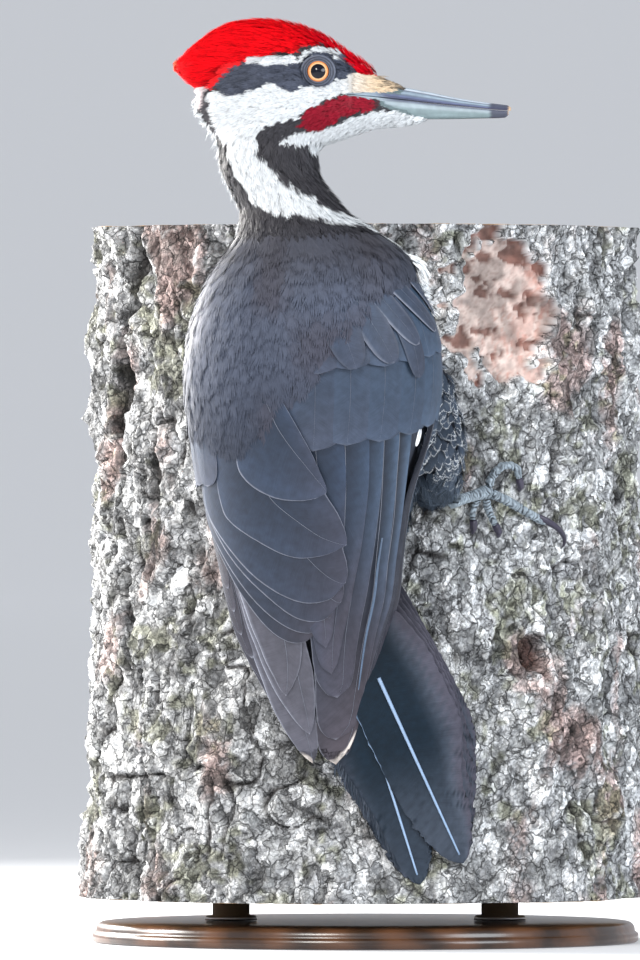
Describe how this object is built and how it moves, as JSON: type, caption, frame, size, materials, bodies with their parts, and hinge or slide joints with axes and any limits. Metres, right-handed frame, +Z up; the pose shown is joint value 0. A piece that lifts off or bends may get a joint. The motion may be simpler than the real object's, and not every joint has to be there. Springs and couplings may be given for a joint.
{
  "type": "pileated woodpecker",
  "caption": "Life-size still model of a male pileated woodpecker clinging to a short cut length of tree trunk, held on a plain round display stand.",
  "frame": {"origin": "centre of the round base's flat underside, on the axis of the cut trunk", "axes": "+Z up along the trunk's axis; the bird clings to the -Y side with its belly to the bark, its right side is +X and its bill points along +X"},
  "size_m": [0.2679, 0.3818, 0.4406],
  "materials": {
    "body_feathers": "soft slate-black contour feathers, matte",
    "crest_feathers": "scarlet crest feathers, soft sheen",
    "flight_feathers": "slate-black vanes, silky sheen",
    "bill": "blue-grey horn, satin",
    "eye": "amber iris under a clear cornea",
    "leg_scales": "blue-grey scaled skin",
    "claw": "dark grey horn, satin",
    "bark": "pale grey flaking conifer bark, rough",
    "stand_wood": "dark stained hardwood, satin",
    "stand_steel": "brushed"
  },
  "bodies": {
    "root": {"bill_lower": "bill", "bill_upper": "bill", "claw_left_inner": "claw", "claw_left_outer": "claw", "claw_left_rear": "claw", "claw_left_upper": "claw", "claw_right_inner": "claw", "claw_right_outer": "claw", "claw_right_rear": "claw", "claw_right_upper": "claw", "crest": "crest_feathers", "eye_left": "eye", "eye_right": "eye", "head": "body_feathers", "neck": "body_feathers", "perch_trunk": "bark", "stand_base": "stand_wood", "stand_rod_left": "stand_steel", "stand_rod_right": "stand_steel", "tail_left_1": "flight_feathers", "tail_left_2": "flight_feathers", "tail_left_3": "flight_feathers", "tail_left_4": "flight_feathers", "tail_left_5": "flight_feathers", "tail_right_1": "flight_feathers", "tail_right_2": "flight_feathers", "tail_right_3": "flight_feathers", "tail_right_4": "flight_feathers", "tail_right_5": "flight_feathers", "tarsus_left": "leg_scales", "tarsus_right": "leg_scales", "thigh_left": "body_feathers", "thigh_right": "body_feathers", "toe_left_inner": "leg_scales", "toe_left_outer": "leg_scales", "toe_left_rear": "leg_scales", "toe_left_upper": "leg_scales", "toe_right_inner": "leg_scales", "toe_right_outer": "leg_scales", "toe_right_rear": "leg_scales", "toe_right_upper": "leg_scales", "torso": "body_feathers", "wing_left_coverts": "flight_feathers", "wing_left_primaries": "flight_feathers", "wing_left_secondaries": "flight_feathers", "wing_right_coverts": "flight_feathers", "wing_right_primaries": "flight_feathers", "wing_right_secondaries": "flight_feathers"}
  },
  "joints": []
}
